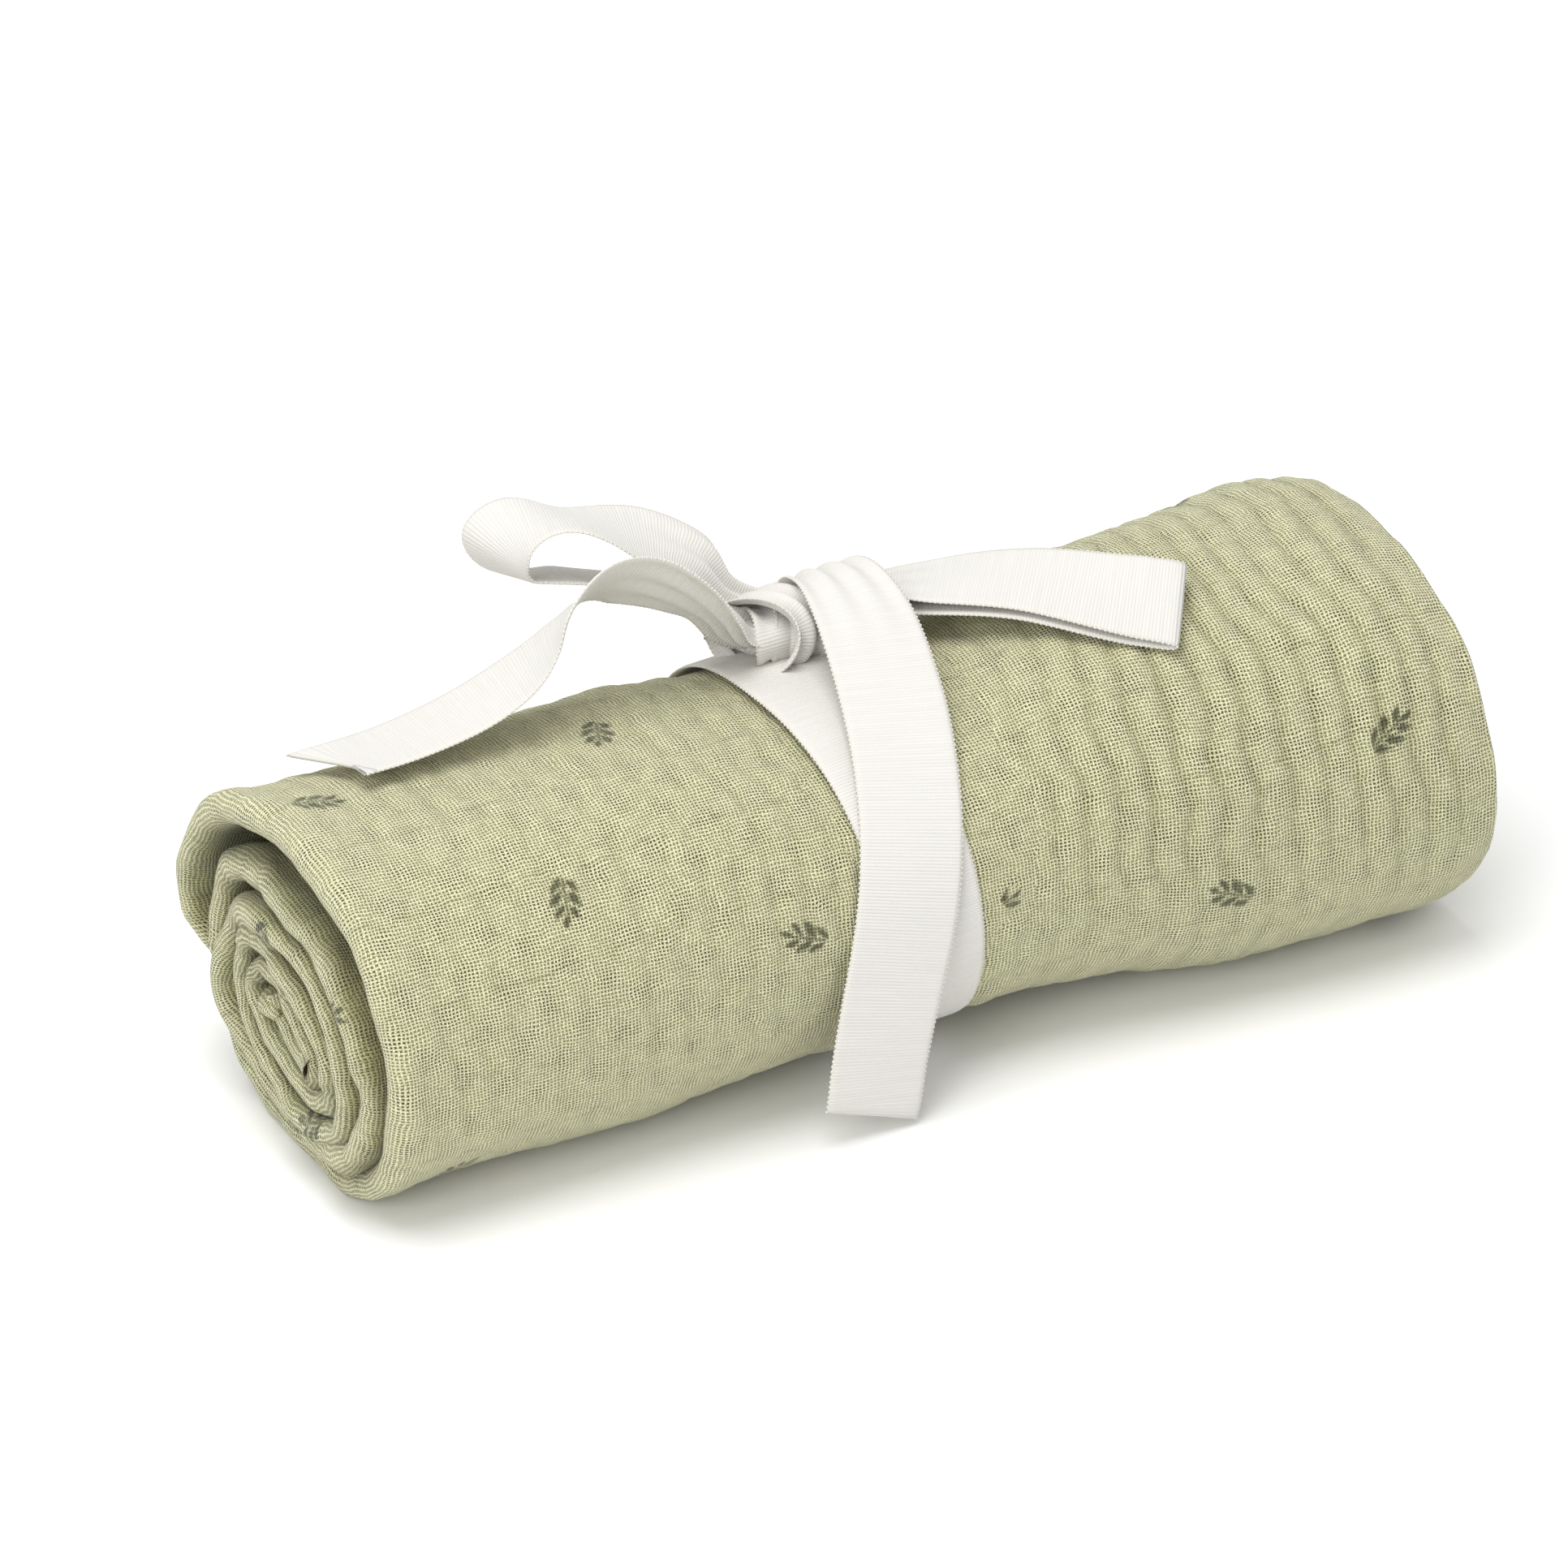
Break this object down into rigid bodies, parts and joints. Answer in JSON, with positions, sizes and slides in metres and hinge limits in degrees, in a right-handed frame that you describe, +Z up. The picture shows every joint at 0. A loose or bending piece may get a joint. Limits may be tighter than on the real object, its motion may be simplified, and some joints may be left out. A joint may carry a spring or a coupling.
{
  "type": "rolled muslin cloth",
  "caption": "Double-gauze muslin cloth, folded in three and wound into a roll, tied round its waist with a ribbon bow; spiral of folded edges at one end.",
  "frame": {"origin": "on the surface the roll rests on, under the middle of the object", "axes": "+X along the roll, from the end with the open spiral to the rounded end; +Y to the back, away from the front tail of the ribbon; +Z up"},
  "size_m": [0.233, 0.0929, 0.1047],
  "materials": {
    "muslin": "matte open gauze",
    "ribbon": "matte ribbed ivory"
  },
  "bodies": {
    "root": {"roll": "muslin", "ribbon_band": "ribbon", "ribbon_knot": "ribbon", "ribbon_loop_left": "ribbon", "ribbon_loop_right": "ribbon", "ribbon_tail_left": "ribbon", "ribbon_tail_front": "ribbon"}
  },
  "joints": []
}
